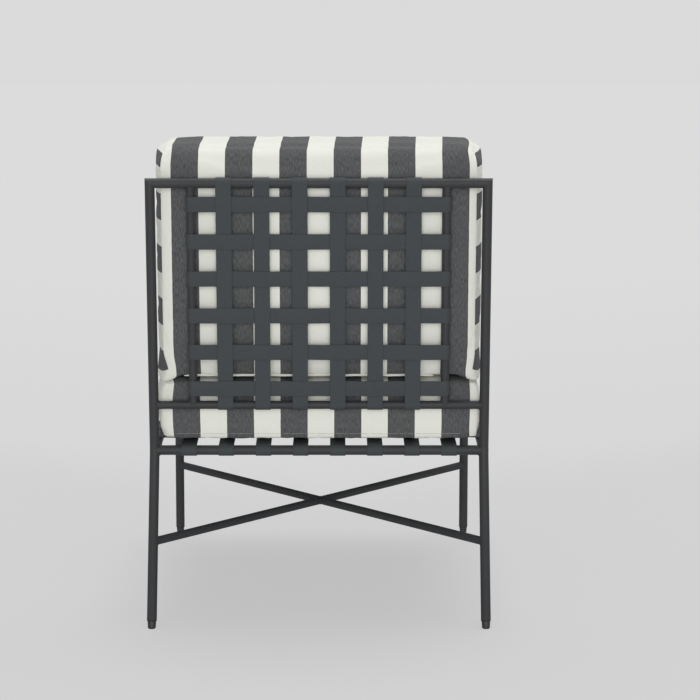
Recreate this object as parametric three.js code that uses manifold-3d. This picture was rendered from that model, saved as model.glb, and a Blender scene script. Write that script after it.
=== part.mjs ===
// Patio lounge chair: welded tube frame, woven strap back and seat, two loose box cushions.
// Millimetres, +Z up, the sitter faces +Y, so +X is the sitter's right. Origin on the floor,
// midway between the centres of the front and the rear feet.
import * as THREE from 'three';
import { mergeVertices } from 'three/addons/utils/BufferGeometryUtils.js';
import Module from 'manifold-3d';

const wasm = await Module();
wasm.setup();

// Frame sizes
const FRAME_WIDTH = 660;
const TUBE_DIAMETER = 19;
const SLIM_TUBE_DIAMETER = 16;
const TUBE_WALL = 1.5;
const FOOT_SPACING = 778;
const SEAT_RAIL_HEIGHT = 325;
const LOWER_RAIL_HEIGHT = 416;
const TOP_RAIL_HEIGHT = 850;
const POST_TO_UPRIGHT = 77;
const BRACE_HEIGHT = 156.5;
const BEND_RADIUS = 60;
const LEG_RAKE = THREE.MathUtils.degToRad(19);
const BACK_LEAN = THREE.MathUtils.degToRad(5.5);
const SEAT_SLOPE = THREE.MathUtils.degToRad(2);

// Webbing sizes
const STRAP_WIDTH = 30;
const STRAP_THICKNESS = 2;
const STRAP_PITCH = 72.3;
const BACK_VERTICAL_COUNT = 6;
const BACK_CROSS_COUNT = 6;
const SEAT_LENGTHWISE_COUNT = 8;
const SEAT_CROSS_COUNT = 8;
const TOP_RAIL_TO_FIRST_STRAP = 39.5;
const FLAT_BEYOND_CROSSING = 2;
const WRAP_STEP = THREE.MathUtils.degToRad(30);
const WRAP_STEPS = 7;

// Foot glide sizes
const GLIDE_HEIGHT = 13;
const GLIDE_TOP_RADIUS = 8.4;
const GLIDE_BOTTOM_RADIUS = 7.6;
const SPIGOT_LENGTH = 16;
const SPIGOT_CHAMFER = 1.5;

// Cushion sizes: seams set against the frame, edges from seam to seam, crowns and bulges beyond them
const SEAT_SEAM_TO_POST = 7;
const SEAT_SEAM_PAST_FRONT_RAIL = 2;
const SEAT_CUSHION_EDGE = 118;
const SEAT_TOP_CROWN = 12;
const SEAT_BOTTOM_CROWN = 8.5;
const SEAT_SIDE_BULGE = 6;
const BACK_SEAM_TO_POST = 9;
const BACK_SEAM_ABOVE_TOP_RAIL = 66.7;
const BACK_CUSHION_EDGE = 120;
const BACK_REAR_CROWN = 12;
const BACK_FRONT_CROWN = 24;
const BACK_SIDE_BULGE = 8;
const CUSHION_CORNER_CUT = 10;

// Clearances
const WELD_GAP = 0.3;
const STRAP_GAP = 0.3;
const WEAVE_GAP = 0.3;
const SPIGOT_CLEARANCE = 0.5;
const CUSHION_GAP = 0.4;

// Overrun of every cutting body past what it cuts
const CUT_OVERRUN = 30;

// Face counts
const TUBE_SIDES = 20;
const BORE_SIDES = 16;
const BEND_STEPS = 5;
const GLIDE_SEGMENTS = 20;
const CUSHION_SEGMENTS = 14;
const CUSHION_EDGE_SEGMENTS = 4;

// Places that follow from the sizes
const X_AXIS = new THREE.Vector3(1, 0, 0);
const Y_AXIS = new THREE.Vector3(0, 1, 0);
const Z_AXIS = new THREE.Vector3(0, 0, 1);
const tubeRadius = TUBE_DIAMETER / 2;
const slimRadius = SLIM_TUBE_DIAMETER / 2;
const postX = FRAME_WIDTH / 2 - tubeRadius;
const rearFootY = -FOOT_SPACING / 2;
const frontFootY = FOOT_SPACING / 2;
const kink = new THREE.Vector3(0, rearFootY + SEAT_RAIL_HEIGHT * Math.tan(LEG_RAKE), SEAT_RAIL_HEIGHT);
const backUp = new THREE.Vector3(0, -Math.sin(BACK_LEAN), Math.cos(BACK_LEAN));
const seatForward = new THREE.Vector3(0, Math.cos(SEAT_SLOPE), Math.sin(SEAT_SLOPE));
const topRailRise = (TOP_RAIL_HEIGHT - SEAT_RAIL_HEIGHT) / Math.cos(BACK_LEAN);
const lowerRailRise = (LOWER_RAIL_HEIGHT - SEAT_RAIL_HEIGHT) / Math.cos(BACK_LEAN);
const seatRailSpacing = (frontFootY - kink.y) / Math.cos(SEAT_SLOPE);
const uprightX = postX - POST_TO_UPRIGHT;
const insidePosts = 2 * (postX - tubeRadius);

// A point of the frame: beside the middle plane, up the back from the bend, forward along the seat
const backPoint = (x, rise) => kink.clone().addScaledVector(backUp, rise).setX(x);
const seatPoint = (x, along) => kink.clone().addScaledVector(seatForward, along).setX(x);
const rearLegPoint = (side, z) => new THREE.Vector3(side * postX, rearFootY + z * Math.tan(LEG_RAKE), z);
const frontLegPoint = (side, z) => new THREE.Vector3(side * postX, frontFootY, z);

// Finishes
const POWDER_COAT = { color: 0x45474a, roughness: 0.55, metalness: 0.3 };
const STRAP_FINISH = { color: 0x46494c, roughness: 0.75, metalness: 0 };
const GLIDE_FINISH = { color: 0x161718, roughness: 0.6, metalness: 0 };
const FABRIC_FINISH = { color: 0xdedfd6, roughness: 0.95, metalness: 0 };

const chair = new THREE.Group();

function addMesh(parent, name, geometry, finish) {
  geometry.computeVertexNormals();
  const mesh = new THREE.Mesh(geometry, new THREE.MeshStandardMaterial(finish));
  mesh.name = name;
  parent.add(mesh);
  return mesh;
}

// Closed geometry over rings of points, each ring counter-clockwise about the way the rings go
function loft(rings) {
  const count = rings[0].length;
  const positions = rings.flat().flatMap((point) => point.toArray());
  const index = [];
  for (let ring = 0; ring < rings.length - 1; ring += 1) {
    for (let i = 0; i < count; i += 1) {
      const next = (i + 1) % count;
      const a = ring * count + i;
      const b = ring * count + next;
      index.push(a, b, b + count, a, b + count, a + count);
    }
  }
  const last = (rings.length - 1) * count;
  for (let i = 1; i < count - 1; i += 1) {
    index.push(0, i + 1, i);
    index.push(last, last + i, last + i + 1);
  }
  const geometry = new THREE.BufferGeometry();
  geometry.setAttribute('position', new THREE.Float32BufferAttribute(positions, 3));
  geometry.setIndex(index);
  return geometry;
}

function toSolid(geometry) {
  const bare = geometry.clone();
  bare.deleteAttribute('normal');
  bare.deleteAttribute('uv');
  const merged = mergeVertices(bare);
  const vertProperties = new Float32Array(merged.attributes.position.array);
  const triVerts = new Uint32Array(merged.index.array);
  return new wasm.Manifold(new wasm.Mesh({ numProp: 3, vertProperties, triVerts }));
}

function toGeometry(solid) {
  const mesh = solid.getMesh();
  const geometry = new THREE.BufferGeometry();
  geometry.setAttribute('position', new THREE.Float32BufferAttribute(mesh.vertProperties, 3));
  geometry.setIndex(Array.from(mesh.triVerts));
  return geometry;
}

// Stations of a path through points, each inner corner rounded to an arc
function bentPath(points, bendRadius) {
  const first = points[0];
  const last = points[points.length - 1];
  const stations = [{ point: first, tangent: points[1].clone().sub(first).normalize() }];
  for (let i = 1; i < points.length - 1; i += 1) {
    const before = points[i].clone().sub(points[i - 1]).normalize();
    const after = points[i + 1].clone().sub(points[i]).normalize();
    const turn = before.angleTo(after);
    const setback = bendRadius * Math.tan(turn / 2);
    const inward = after.clone().sub(before).normalize();
    const centre = points[i].clone().addScaledVector(inward, bendRadius / Math.cos(turn / 2));
    const spoke = points[i].clone().addScaledVector(before, -setback).sub(centre);
    const hinge = before.clone().cross(after).normalize();
    for (let step = 0; step <= BEND_STEPS; step += 1) {
      const angle = (turn * step) / BEND_STEPS;
      const point = spoke.clone().applyAxisAngle(hinge, angle).add(centre);
      const tangent = before.clone().applyAxisAngle(hinge, angle);
      stations.push({ point, tangent });
    }
  }
  const before = points[points.length - 2];
  stations.push({ point: last, tangent: last.clone().sub(before).normalize() });
  return stations;
}

// Round solid rod along stations that lie in one plane, or along a straight line
function rod(stations, radius, sides) {
  const start = stations[0].tangent;
  const across = Math.abs(start.x) < Math.SQRT1_2 ? X_AXIS : Z_AXIS;
  const rings = stations.map(({ point, tangent }) => {
    const up = tangent.clone().cross(across).normalize();
    const side = up.clone().cross(tangent);
    return Array.from({ length: sides }, (_, i) => {
      const angle = (2 * Math.PI * i) / sides;
      return point
        .clone()
        .addScaledVector(side, radius * Math.cos(angle))
        .addScaledVector(up, radius * Math.sin(angle));
    });
  });
  return toSolid(loft(rings));
}

const straightPath = (from, to) => bentPath([from, to], 0);

// Big block on the far side of a plane, used to trim a tube to a mitre or a floor line
function blockBeyond(point, normal) {
  const size = FRAME_WIDTH;
  const block = new THREE.BoxGeometry(size, size, size);
  block.translate(0, 0, size / 2);
  const turn = new THREE.Quaternion().setFromUnitVectors(Z_AXIS, normal.clone().normalize());
  block.applyQuaternion(turn);
  block.translate(point.x, point.y, point.z);
  return toSolid(block);
}

// Rear tube: raked leg, bend at the seat, leaning post, mitred at the top. extra fattens it for cutting
function rearTube(side, extra = 0) {
  const foot = rearLegPoint(side, GLIDE_HEIGHT);
  const corner = backPoint(side * postX, topRailRise);
  const pastCorner = backPoint(side * postX, topRailRise + CUT_OVERRUN);
  const path = bentPath([foot, kink.clone().setX(side * postX), pastCorner], BEND_RADIUS);
  const mitre = backUp.clone().addScaledVector(X_AXIS, -side).normalize();
  const cutPlace = corner.addScaledVector(mitre, extra - WELD_GAP / 2);
  return rod(path, tubeRadius + extra, TUBE_SIDES).subtract(blockBeyond(cutPlace, mitre));
}

function rearTubeBore(side) {
  const downLeg = rearLegPoint(side, 0);
  const top = backPoint(side * postX, topRailRise + CUT_OVERRUN);
  const path = bentPath([downLeg, kink.clone().setX(side * postX), top], BEND_RADIUS);
  return rod(path, tubeRadius - TUBE_WALL, BORE_SIDES);
}

const frontCorner = (side) => seatPoint(side * postX, seatRailSpacing);
const frontMitre = Z_AXIS.clone().sub(seatForward).normalize();

function frontLeg(side, extra = 0) {
  const corner = frontCorner(side);
  const top = corner.z + CUT_OVERRUN;
  const path = straightPath(frontLegPoint(side, GLIDE_HEIGHT), frontLegPoint(side, top));
  const cutPlace = corner.addScaledVector(frontMitre, extra - WELD_GAP / 2);
  return rod(path, tubeRadius + extra, TUBE_SIDES).subtract(blockBeyond(cutPlace, frontMitre));
}

function frontLegBore(side) {
  const top = frontCorner(side).z + CUT_OVERRUN;
  const path = straightPath(frontLegPoint(side, 0), frontLegPoint(side, top));
  return rod(path, tubeRadius - TUBE_WALL, BORE_SIDES);
}

function sideRail(side, extra = 0) {
  const corner = frontCorner(side);
  const pastCorner = seatPoint(side * postX, seatRailSpacing + CUT_OVERRUN);
  const path = straightPath(seatPoint(side * postX, 0), pastCorner);
  const towardsLeg = frontMitre.clone().negate();
  const cutPlace = corner.addScaledVector(towardsLeg, extra - WELD_GAP / 2);
  return rod(path, tubeRadius + extra, TUBE_SIDES).subtract(blockBeyond(cutPlace, towardsLeg));
}

function topRail() {
  const reach = postX + CUT_OVERRUN;
  let rail = plainRod(backPoint(-reach, topRailRise), backPoint(reach, topRailRise), tubeRadius);
  for (const side of [-1, 1]) {
    const towardsPost = X_AXIS.clone().multiplyScalar(side).sub(backUp).normalize();
    const corner = backPoint(side * postX, topRailRise).addScaledVector(towardsPost, -WELD_GAP / 2);
    rail = rail.subtract(blockBeyond(corner, towardsPost));
  }
  return rail;
}

// Straight tube from one point to another, hollow, its ends coped round the tubes that it is welded to
function copedTube(from, to, radius, neighbours) {
  const path = straightPath(from, to);
  let tube = rod(path, radius, TUBE_SIDES);
  for (const neighbour of neighbours) {
    tube = tube.subtract(neighbour);
  }
  return tube.subtract(straightBore(from, to, radius));
}

function straightBore(from, to, radius) {
  const along = to.clone().sub(from).normalize();
  const start = from.clone().addScaledVector(along, -CUT_OVERRUN);
  const end = to.clone().addScaledVector(along, CUT_OVERRUN);
  return rod(straightPath(start, end), radius - TUBE_WALL, BORE_SIDES);
}

const plainRod = (from, to, radius) => rod(straightPath(from, to), radius, TUBE_SIDES);

function addFrame() {
  const addTube = (name, solid) => addMesh(chair, name, toGeometry(solid), POWDER_COAT);
  const sides = [['left', -1], ['right', 1]];
  const fatPosts = sides.map(([, side]) => rearTube(side, WELD_GAP));
  const fatSideRails = sides.map(([, side]) => sideRail(side, WELD_GAP));
  const fatFrontLegs = sides.map(([, side]) => frontLeg(side, WELD_GAP));

  sides.forEach(([word, side], i) => {
    const railBore = straightBore(seatPoint(side * postX, 0), frontCorner(side), tubeRadius);
    addTube(`rear_leg_post_${word}`, rearTube(side).subtract(rearTubeBore(side)));
    addTube(`front_leg_${word}`, frontLeg(side).subtract(frontLegBore(side)));
    addTube(`side_seat_rail_${word}`, sideRail(side).subtract(fatPosts[i]).subtract(railBore));
  });

  const railFrom = backPoint(-postX, topRailRise);
  const railTo = backPoint(postX, topRailRise);
  addTube('top_rail', topRail().subtract(straightBore(railFrom, railTo, tubeRadius)));

  const lowerFrom = backPoint(-postX, lowerRailRise);
  const lowerTo = backPoint(postX, lowerRailRise);
  addTube('lower_back_rail', copedTube(lowerFrom, lowerTo, slimRadius, fatPosts));

  const fatTopRail = plainRod(railFrom, railTo, tubeRadius + WELD_GAP);
  const fatLowerRail = plainRod(lowerFrom, lowerTo, slimRadius + WELD_GAP);
  for (const [word, side] of sides) {
    const x = side * uprightX;
    const foot = backPoint(x, lowerRailRise);
    const head = backPoint(x, topRailRise);
    addTube(`back_upright_${word}`, copedTube(foot, head, slimRadius, [fatTopRail, fatLowerRail]));
  }

  const rearEnds = [seatPoint(-postX, 0), seatPoint(postX, 0)];
  addTube('rear_seat_rail', copedTube(...rearEnds, tubeRadius, [...fatPosts, ...fatSideRails]));
  const frontEnds = [frontCorner(-1), frontCorner(1)];
  addTube('front_seat_rail', copedTube(...frontEnds, tubeRadius, [...fatFrontLegs, ...fatSideRails]));

  const [leftRear, rightRear] = [rearLegPoint(-1, BRACE_HEIGHT), rearLegPoint(1, BRACE_HEIGHT)];
  const [leftFront, rightFront] = [frontLegPoint(-1, BRACE_HEIGHT), frontLegPoint(1, BRACE_HEIGHT)];
  const crossing = leftRear.clone().add(rightFront).multiplyScalar(1 / 2);
  const fatBrace = plainRod(leftRear, rightFront, slimRadius + WELD_GAP);
  addTube('brace_long', copedTube(leftRear, rightFront, slimRadius, [fatPosts[0], fatFrontLegs[1]]));
  addTube('brace_half_rear', copedTube(rightRear, crossing, slimRadius, [fatPosts[1], fatBrace]));
  addTube('brace_half_front', copedTube(leftFront, crossing, slimRadius, [fatFrontLegs[0], fatBrace]));
}

// Foot glide: tapered plug with a spigot up the tube, cut flat on the floor
function addGlide(name, tubeEnd, along) {
  const spigotRadius = tubeRadius - TUBE_WALL - SPIGOT_CLEARANCE;
  const below = 2 * GLIDE_HEIGHT;
  const taper = (GLIDE_TOP_RADIUS - GLIDE_BOTTOM_RADIUS) / GLIDE_HEIGHT;
  const profile = [
    [0, -below],
    [GLIDE_TOP_RADIUS - taper * below, -below],
    [GLIDE_TOP_RADIUS, -WELD_GAP],
    [spigotRadius, -WELD_GAP],
    [spigotRadius, SPIGOT_LENGTH - SPIGOT_CHAMFER],
    [spigotRadius - SPIGOT_CHAMFER, SPIGOT_LENGTH],
    [0, SPIGOT_LENGTH],
  ].map(([radius, height]) => new THREE.Vector2(radius, height));
  const plug = new THREE.LatheGeometry(profile, GLIDE_SEGMENTS);
  plug.applyQuaternion(new THREE.Quaternion().setFromUnitVectors(Y_AXIS, along));
  plug.translate(tubeEnd.x, tubeEnd.y, tubeEnd.z);
  const floor = new THREE.Vector3(tubeEnd.x, tubeEnd.y, 0);
  const down = Z_AXIS.clone().negate();
  addMesh(chair, name, toGeometry(toSolid(plug).subtract(blockBeyond(floor, down))), GLIDE_FINISH);
}

function addGlides() {
  const rearAlong = new THREE.Vector3(0, Math.sin(LEG_RAKE), Math.cos(LEG_RAKE));
  for (const [word, side] of [['left', -1], ['right', 1]]) {
    addGlide(`foot_glide_rear_${word}`, rearLegPoint(side, GLIDE_HEIGHT), rearAlong);
    addGlide(`foot_glide_front_${word}`, frontLegPoint(side, GLIDE_HEIGHT), Z_AXIS);
  }
}

// Flat strap along a path of (along, height) points; the strap's width lies across both directions
function ribbon(path, origin, along, height) {
  const cross = height.clone().cross(along);
  const rings = path.map((point, i) => {
    const before = i > 0 ? point.clone().sub(path[i - 1]).normalize() : null;
    const after = i < path.length - 1 ? path[i + 1].clone().sub(point).normalize() : null;
    const ahead = (before ?? after).clone().add(after ?? before).normalize();
    const normal = new THREE.Vector2(-ahead.y, ahead.x);
    const halfThickness = STRAP_THICKNESS / 2 / ahead.dot(after ?? before);
    const corners = [[-1, -1], [1, -1], [1, 1], [-1, 1]];
    return corners.map(([wide, thick]) => {
      const place = point.clone().addScaledVector(normal, thick * halfThickness);
      return origin
        .clone()
        .addScaledVector(cross, (wide * STRAP_WIDTH) / 2)
        .addScaledVector(along, place.x)
        .addScaledVector(height, place.y);
    });
  });
  return loft(rings);
}

// Wrap round a tube, from its top tangent outwards and under; facets stay clear of the tube
function wrapPoints(tube, outward) {
  const radius = tube.radius + STRAP_GAP + STRAP_THICKNESS / 2;
  const cornerRadius = radius / Math.cos(WRAP_STEP / 2);
  const at = (angle, reach) => {
    const along = tube.along + outward * reach * Math.sin(angle);
    return new THREE.Vector2(along, reach * Math.cos(angle));
  };
  const corners = Array.from({ length: WRAP_STEPS }, (_, i) => at((i + 1 / 2) * WRAP_STEP, cornerRadius));
  return [at(0, radius), ...corners, at(WRAP_STEPS * WRAP_STEP, radius)];
}

// Path of one woven strap between two tubes; overFirst says whether it starts over its first neighbour
function wovenPath(startTube, endTube, crossings, overFirst, middle) {
  const swing = (STRAP_THICKNESS + WEAVE_GAP) / 2;
  const flatReach = STRAP_WIDTH / 2 + FLAT_BEYOND_CROSSING;
  const woven = crossings.flatMap((crossing, i) => {
    const over = (i % 2 === 0) === overFirst;
    const height = middle + (over ? swing : -swing);
    return [-flatReach, flatReach].map((reach) => new THREE.Vector2(crossing + reach, height));
  });
  return [...wrapPoints(startTube, -1).reverse(), ...woven, ...wrapPoints(endTube, 1)];
}

const spread = (count, middle) => {
  return Array.from({ length: count }, (_, i) => middle + (i - (count - 1) / 2) * STRAP_PITCH);
};

// A woven panel in its own plane: local X across, local up along the panel, straps on the height side
function addPanel(group, names, rows, columns, height) {
  const middle = Math.min(rows.tube, columns.tubes[0].radius, columns.tubes[1].radius);
  const level = middle + STRAP_GAP + STRAP_THICKNESS / 2;
  const sideTubes = [-1, 1].map((side) => ({ along: side * rows.reach, radius: rows.tube }));
  columns.places.forEach((x, i) => {
    const path = wovenPath(...columns.tubes, rows.places, i % 2 === columns.parity, level);
    const strap = ribbon(path, X_AXIS.clone().multiplyScalar(x), columns.along, height);
    addMesh(group, `${names.column}_${i + 1}`, strap, STRAP_FINISH);
  });
  rows.places.forEach((place, j) => {
    const path = wovenPath(...sideTubes, columns.places, j % 2 !== columns.parity, level);
    const strap = ribbon(path, columns.along.clone().multiplyScalar(place), X_AXIS, height);
    addMesh(group, `${names.row}_${j + 1}`, strap, STRAP_FINISH);
  });
}

function panelGroup(tilt) {
  const group = new THREE.Group();
  group.position.copy(kink);
  group.rotation.x = tilt;
  chair.add(group);
  return group;
}

function addBackWebbing(group) {
  const firstRow = topRailRise - TOP_RAIL_TO_FIRST_STRAP;
  const places = Array.from({ length: BACK_CROSS_COUNT }, (_, j) => firstRow - j * STRAP_PITCH).reverse();
  const rows = { places, reach: uprightX, tube: slimRadius };
  const columns = {
    places: spread(BACK_VERTICAL_COUNT, 0),
    tubes: [{ along: lowerRailRise, radius: slimRadius }, { along: topRailRise, radius: tubeRadius }],
    along: Z_AXIS,
    parity: 1,
  };
  const names = { column: 'back_strap_vertical', row: 'back_strap_cross' };
  addPanel(group, names, rows, columns, Y_AXIS.clone().negate());
}

function addSeatWebbing(group) {
  const rows = { places: spread(SEAT_CROSS_COUNT, seatRailSpacing / 2), reach: postX, tube: tubeRadius };
  const columns = {
    places: spread(SEAT_LENGTHWISE_COUNT, 0),
    tubes: [{ along: 0, radius: tubeRadius }, { along: seatRailSpacing, radius: tubeRadius }],
    along: Y_AXIS,
    parity: 0,
  };
  const names = { column: 'seat_strap_lengthwise', row: 'seat_strap_cross' };
  addPanel(group, names, rows, columns, Z_AXIS);
}

// Box cushion round its own middle: crowned faces, bulging boxing, corners drawn in
function cushionGeometry({ width, length, edge, topCrown, bottomCrown, bulge }) {
  const box = new THREE.BoxGeometry(2, 2, 2, CUSHION_SEGMENTS, CUSHION_SEGMENTS, CUSHION_EDGE_SEGMENTS);
  box.deleteAttribute('normal');
  box.deleteAttribute('uv');
  const geometry = mergeVertices(box);
  const positions = geometry.attributes.position;
  for (let i = 0; i < positions.count; i += 1) {
    const [u, v, w] = [positions.getX(i), positions.getY(i), positions.getZ(i)];
    const crownShare = (1 - u * u) * (1 - v * v);
    const crown = w > 0 ? topCrown : bottomCrown;
    const swell = bulge * (1 - w * w);
    const x = u * (width / 2 + swell - CUSHION_CORNER_CUT * v ** 6);
    const y = v * (length / 2 + swell - CUSHION_CORNER_CUT * u ** 6);
    positions.setXYZ(i, x, y, w * (edge / 2 + crown * crownShare));
  }
  return geometry;
}

// Height of the straps' outer faces above the plane through the tube axes, in the weave and on a wrap
const weaveTop = (radius) => radius + STRAP_GAP + (STRAP_THICKNESS * 3) / 2 + WEAVE_GAP / 2;
const wrapTop = (radius) => (radius + STRAP_GAP + STRAP_THICKNESS) / Math.cos(WRAP_STEP / 2);

// The seat cushion lies on the seat webbing, from just clear of the straps round the lower back rail
// to a little past the front rail
function seatCushionPlace() {
  const lowerRail = backPoint(0, lowerRailRise).sub(kink);
  const rear = lowerRail.dot(seatForward) + wrapTop(slimRadius) + CUSHION_GAP + SEAT_SIDE_BULGE;
  const front = seatRailSpacing + SEAT_SEAM_PAST_FRONT_RAIL;
  const lowestSeam = weaveTop(tubeRadius) + CUSHION_GAP + SEAT_BOTTOM_CROWN;
  const middle = new THREE.Vector3(0, (rear + front) / 2, lowestSeam + SEAT_CUSHION_EDGE / 2);
  return { middle, length: front - rear };
}

// Height of the seat cushion's top above the seat plane, on its middle line
function seatTopAt(along) {
  const { middle, length } = seatCushionPlace();
  const share = (along - middle.y) / (length / 2);
  return middle.z + SEAT_CUSHION_EDGE / 2 + SEAT_TOP_CROWN * (1 - share * share);
}

// The back cushion leans on the straps round the top rail, stands on the seat cushion
// and ends a set height above the rail
function backCushionPlace() {
  const lean = BACK_LEAN - SEAT_SLOPE;
  const standing = (depth) => (seatTopAt(depth) + CUSHION_GAP - depth * Math.sin(lean)) / Math.cos(lean);
  const topSeam = topRailRise + BACK_SEAM_ABOVE_TOP_RAIL;
  const lengthAt = (depth) => topSeam - standing(depth) - BACK_SIDE_BULGE;
  const nearWrap = wrapTop(tubeRadius) + CUSHION_GAP;
  const railShare = 1 - BACK_SEAM_ABOVE_TOP_RAIL / (lengthAt(BACK_CUSHION_EDGE / 2) / 2);
  const depth = nearWrap + BACK_REAR_CROWN * (1 - railShare * railShare) + BACK_CUSHION_EDGE / 2;
  const length = lengthAt(depth);
  return { middle: new THREE.Vector3(0, depth, topSeam - length / 2), length };
}

function addSeatCushion(group) {
  const { middle, length } = seatCushionPlace();
  const geometry = cushionGeometry({
    width: insidePosts - 2 * SEAT_SEAM_TO_POST,
    length,
    edge: SEAT_CUSHION_EDGE,
    topCrown: SEAT_TOP_CROWN,
    bottomCrown: SEAT_BOTTOM_CROWN,
    bulge: SEAT_SIDE_BULGE,
  });
  const cushion = addMesh(group, 'seat_cushion', geometry, FABRIC_FINISH);
  cushion.position.copy(middle);
}

function addBackCushion(group) {
  const { middle, length } = backCushionPlace();
  const geometry = cushionGeometry({
    width: insidePosts - 2 * BACK_SEAM_TO_POST,
    length,
    edge: BACK_CUSHION_EDGE,
    topCrown: BACK_REAR_CROWN,
    bottomCrown: BACK_FRONT_CROWN,
    bulge: BACK_SIDE_BULGE,
  });
  const cushion = addMesh(group, 'back_cushion', geometry, FABRIC_FINISH);
  cushion.rotation.x = Math.PI / 2;
  cushion.position.copy(middle);
}

addFrame();
addGlides();
const backGroup = panelGroup(BACK_LEAN);
const seatGroup = panelGroup(SEAT_SLOPE);
addBackWebbing(backGroup);
addSeatWebbing(seatGroup);
addSeatCushion(seatGroup);
addBackCushion(backGroup);

export default chair;
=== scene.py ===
import math

import bmesh
import bpy
import numpy as np
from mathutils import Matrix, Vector, noise
from mathutils.bvhtree import BVHTree


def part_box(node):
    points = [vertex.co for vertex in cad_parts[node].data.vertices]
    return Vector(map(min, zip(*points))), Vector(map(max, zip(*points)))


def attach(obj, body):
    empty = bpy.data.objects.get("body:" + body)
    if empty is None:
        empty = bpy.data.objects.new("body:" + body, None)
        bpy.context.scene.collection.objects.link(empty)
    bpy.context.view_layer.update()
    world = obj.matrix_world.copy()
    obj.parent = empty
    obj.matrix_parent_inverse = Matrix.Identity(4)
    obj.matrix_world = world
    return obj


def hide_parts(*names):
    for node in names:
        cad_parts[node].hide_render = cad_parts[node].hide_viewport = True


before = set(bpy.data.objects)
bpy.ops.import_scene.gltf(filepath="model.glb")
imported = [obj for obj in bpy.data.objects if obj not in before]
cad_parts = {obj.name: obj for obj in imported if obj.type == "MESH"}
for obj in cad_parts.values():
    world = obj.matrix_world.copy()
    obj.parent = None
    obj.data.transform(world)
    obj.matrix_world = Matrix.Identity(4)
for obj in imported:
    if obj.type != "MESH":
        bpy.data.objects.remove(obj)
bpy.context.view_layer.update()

SIDES = {"left": -1, "right": 1}
X_AXIS, Y_AXIS, Z_AXIS = np.eye(3)

# Frame details
TUBE_SIDES = 48
BEND_RADIUS = 0.060
BEND_STEPS = 12
WELD_RADIUS = 0.0016
WELD_LEAST_SHARE = 0.25
WELD_SIDES = 10
WELD_STEPS = 72
WELD_RIPPLE_SHARE = 0.10
WELD_RIPPLES = 24
TUBE_OVERLAP = 0.0004
SHARP_ANGLE = math.radians(40)

# Glides: the rim is (angle, height) points, the collar (change of radius, height above the glide's top)
GLIDE_HEIGHT = 0.013
GLIDE_TOP_RADIUS = 0.0084
GLIDE_BOTTOM_RADIUS = 0.0076
GLIDE_SEGMENTS = 40
GLIDE_RIM_SHARE = 0.12
GLIDE_RIM = ((0.0, 0.0), (0.6, 0.0004), (1.1, 0.0009), (1.57, 0.0016))
GLIDE_COLLAR = ((0.0, -0.0012), (-0.0006, -0.0004), (-0.0012, 0.0002))

# Straps; the rivet's profile is (radius, height) shares
STRAP_THICKNESS = 0.0014
STRAP_EDGE_ROUND = 0.0006
STRAP_EDGE_STEPS = 3
STRAP_GAP = 0.0002
FLAT_BEYOND_CROSSING = 0.002
EASE_STEPS = 10
WRAP_ANGLE = math.radians(225)
WRAP_STEPS = 32
RIVET_RADIUS = 0.0032
RIVET_HEIGHT = 0.0008
RIVET_PROFILE = ((1.0, 0.0), (1.0, 0.7), (0.8, 1.2), (0.35, 1.5))
RIVET_SEGMENTS = 20
BACK_RIVET_ANGLE = math.radians(165)
SEAT_RIVET_ANGLE = math.radians(207)

# Stripes
DARK_SHARE = 0.506
BACK_STRIPE_PERIOD = 0.1031
SEAT_STRIPE_PERIOD = 0.1044
BACK_DARK_START = 0.0283
SEAT_DARK_START = 0.0292
SIDE_DARK_START_BACK = 0.4520
SIDE_DARK_START_SEAT = 0.0300
TOP_LEAN = 0.005
STRIPE_JITTER = 0.00035

# Cushion covers; the CAD solids' crowns are those below and above their middles
CAD_CROWNS = {"seat_cushion": (0.0085, 0.012), "back_cushion": (0.024, 0.012)}
GRADED_STEPS = [0.0012, 0.0018, 0.0030, 0.0045]
PANEL_STEP = 0.0072
CROWN_POWER = 2.6
SWELL_REACH = 0.022
CORNER_TIGHTENING = 0.55
ALL_ALONG = 9.0
NO_SEAM = 1.0
ON_SEAM = 1e-6
SEAM_DEPTH = 0.0011
SEAM_WIDTH = 0.0014
PUCKER_HEIGHT = 0.0011
PUCKER_REACH = 0.016
PUCKER_PITCH = 0.021
PUCKER_START = 0.003
PUCKER_STRETCH = 0.4
STRAP_SINK = 0.0002
RAIL_REACH = 0.02

# Cloth simulation of the covers
SIM_FRAMES = 20
SIM_CAP = 0.0040
SIM_SETTINGS = {
    "quality": 6,
    "mass": 0.3,
    "tension_stiffness": 15,
    "compression_stiffness": 15,
    "shear_stiffness": 5,
    "bending_stiffness": 0.4,
    "use_pressure": True,
    "uniform_pressure_force": 3.0,
    "shrink_min": -0.012,
}

# Flap over the zip
FLAP_ENDS = (-0.262, 0.222)
FLAP_STEPS = 90
FLAP_SIDES = 14
FLAP_HEIGHT = 0.0048
FLAP_DEPTH = 0.0040
FLAP_DROP_SHARE = 0.42
FLAP_STAND_SHARE = 0.35
FLAP_WAVE = 0.0006
FLAP_WAVES_PER_METRE = 40
FLAP_TIP_SHARE = 0.35
FLAP_TIP_STEPS = 3

# Stitches; the profile is (place along the stitch, sink, radius) shares
THREAD_RADIUS = 0.0004
THREAD_SIDES = 8
STITCH_LENGTH = 0.0032
STITCH_PITCH = 0.0046
STITCH_PROFILE = [(-0.5, 1.0, 0.4), (-0.36, 0.3, 0.9), (0.0, 0.0, 1.0), (0.36, 0.3, 0.9), (0.5, 1.0, 0.4)]
TOPSTITCH_ABOVE_SEAM = 0.009
TOPSTITCH_END_GAP = 0.030

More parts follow.
